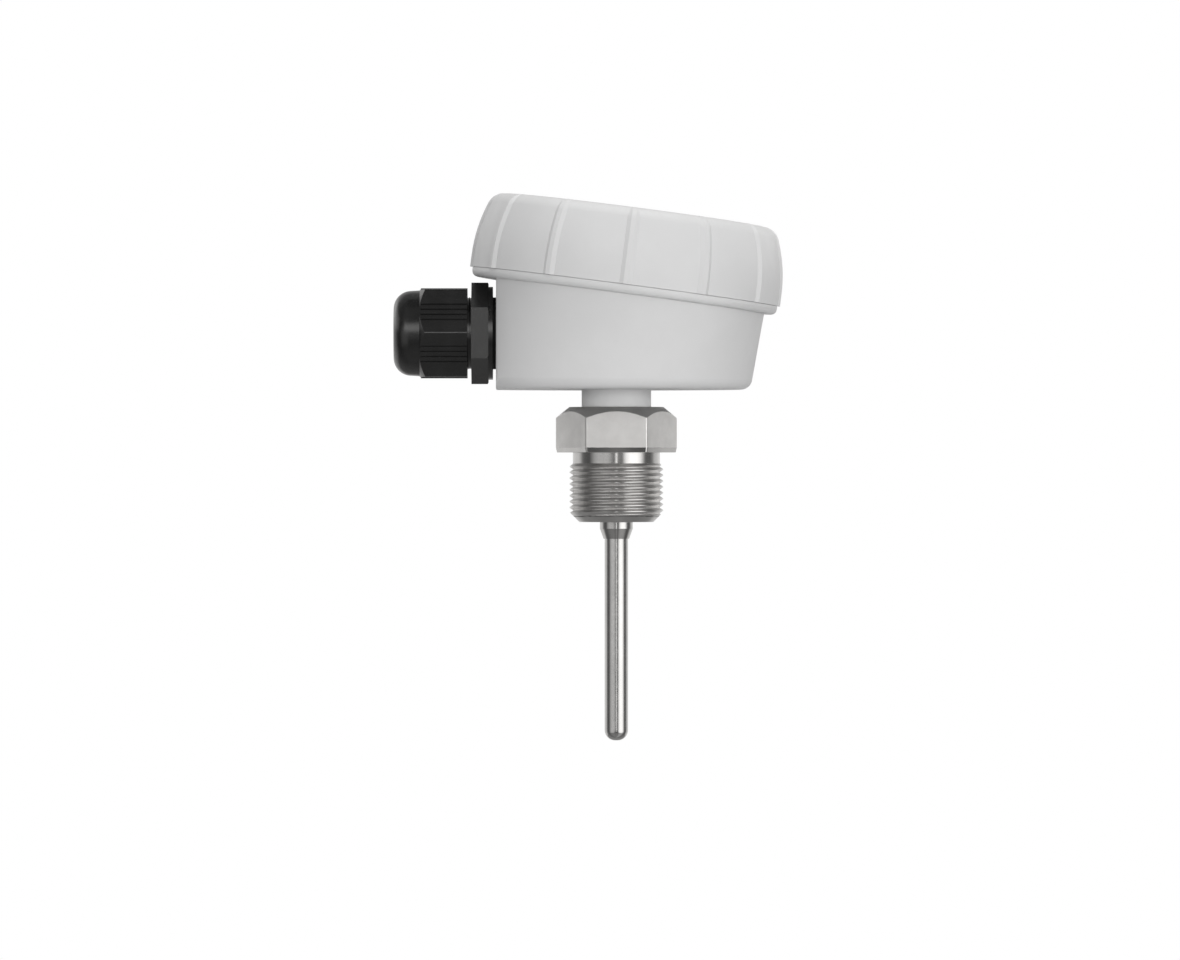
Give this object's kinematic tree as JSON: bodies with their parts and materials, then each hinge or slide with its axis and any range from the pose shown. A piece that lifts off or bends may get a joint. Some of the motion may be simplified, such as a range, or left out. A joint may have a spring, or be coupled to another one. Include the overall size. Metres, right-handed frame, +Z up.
{
  "type": "thermistor probe",
  "caption": "Immersion temperature probe: slim steel stem and threaded hexagon fitting under a round grey connection head with a tilted screw lid and a black side cable gland.",
  "frame": {"origin": "on the stem's axis, where the process thread begins under the hexagon", "axes": "+Z up along the stem into the head, -X out along the cable gland"},
  "size_m": [0.0996, 0.08, 0.1401],
  "materials": {
    "head_plastic": "fine satin moulded",
    "gland_nylon": "satin black",
    "seal_rubber": "matt black",
    "stainless": "turned",
    "tube_steel": "drawn and polished",
    "plated_brass": "nickel plated",
    "board": "solder mask",
    "fixing_steel": "zinc plated",
    "terminal_plastic": "moulded",
    "terminal_brass": "bright",
    "tinned_copper": "tinned",
    "bead_glass": "dark glaze",
    "sleeve_film": "clear amber",
    "lead_insulation": "extruded",
    "heat_compound": "set paste",
    "plug_rubber": "matt"
  },
  "bodies": {
    "head": {"housing": "head_plastic", "gland_body": "gland_nylon", "gland_locknut": "gland_nylon", "gland_gasket": "seal_rubber", "neck_seal": "seal_rubber", "process_fitting": "stainless", "probe_tube": "tube_steel", "clamp_washer": "plated_brass", "clamp_nut": "plated_brass", "circuit_board": "board", "board_screws": "fixing_steel", "terminal_block": "terminal_plastic", "terminal_pins": "tinned_copper", "thermistor_bead": "bead_glass", "bead_sleeve": "sleeve_film", "lead_1": "lead_insulation", "lead_2": "lead_insulation", "tip_compound": "heat_compound", "tube_plug": "plug_rubber"},
    "lid_seal_body": {"lid_gasket": "seal_rubber"},
    "lid_body": {"lid": "head_plastic"},
    "gland_seal_body": {"gland_seal": "seal_rubber"},
    "gland_nut_body": {"gland_nut": "gland_nylon"},
    "terminal_screw_body_1": {"terminal_screw_1": "fixing_steel"},
    "terminal_screw_body_2": {"terminal_screw_2": "fixing_steel"},
    "terminal_cage_body_1": {"terminal_cage_1": "terminal_brass"},
    "terminal_cage_body_2": {"terminal_cage_2": "terminal_brass"}
  },
  "joints": [
    {"name": "lid_lift", "type": "slide", "parent": "head", "child": "lid_seal_body", "axis": [0.1288, 0, 0.9917], "range_m": [0, 0.024]},
    {"name": "lid_turn", "type": "hinge", "parent": "lid_seal_body", "child": "lid_body", "pos_m": [0.0022, 0, 0.0452], "axis": [0.1288, 0, 0.9917], "range_deg": [0, 1440]},
    {"name": "gland_seal_slide", "type": "slide", "parent": "head", "child": "gland_seal_body", "axis": [-1, 0, 0], "range_m": [-0.00084, 0.0045]},
    {"name": "gland_nut_turn", "type": "hinge", "parent": "gland_seal_body", "child": "gland_nut_body", "pos_m": [-0.044, 0, 0.0333], "axis": [-1, 0, 0], "range_deg": [-200, 1080]},
    {"name": "terminal_screw_turn_1", "type": "hinge", "parent": "head", "child": "terminal_screw_body_1", "pos_m": [0.0114, -0.00254, 0.04], "axis": [0, 0, 1], "range_deg": [-1520, 0]},
    {"name": "terminal_cage_rise_1", "type": "slide", "parent": "head", "child": "terminal_cage_body_1", "axis": [0, 0, 1], "range_m": [0, 0.0019]},
    {"name": "terminal_screw_turn_2", "type": "hinge", "parent": "head", "child": "terminal_screw_body_2", "pos_m": [0.0114, 0.00254, 0.04], "axis": [0, 0, 1], "range_deg": [-1520, 0]},
    {"name": "terminal_cage_rise_2", "type": "slide", "parent": "head", "child": "terminal_cage_body_2", "axis": [0, 0, 1], "range_m": [0, 0.0019]}
  ],
  "couplings": [
    {"joint": "lid_lift", "follows": "lid_turn", "m_per_rad": 0.00095492},
    {"joint": "gland_seal_slide", "follows": "gland_nut_turn", "m_per_rad": 0.00023873},
    {"joint": "terminal_screw_turn_1", "follows": "terminal_cage_rise_1", "rad_per_m": -13963},
    {"joint": "terminal_screw_turn_2", "follows": "terminal_cage_rise_2", "rad_per_m": -13963}
  ]
}
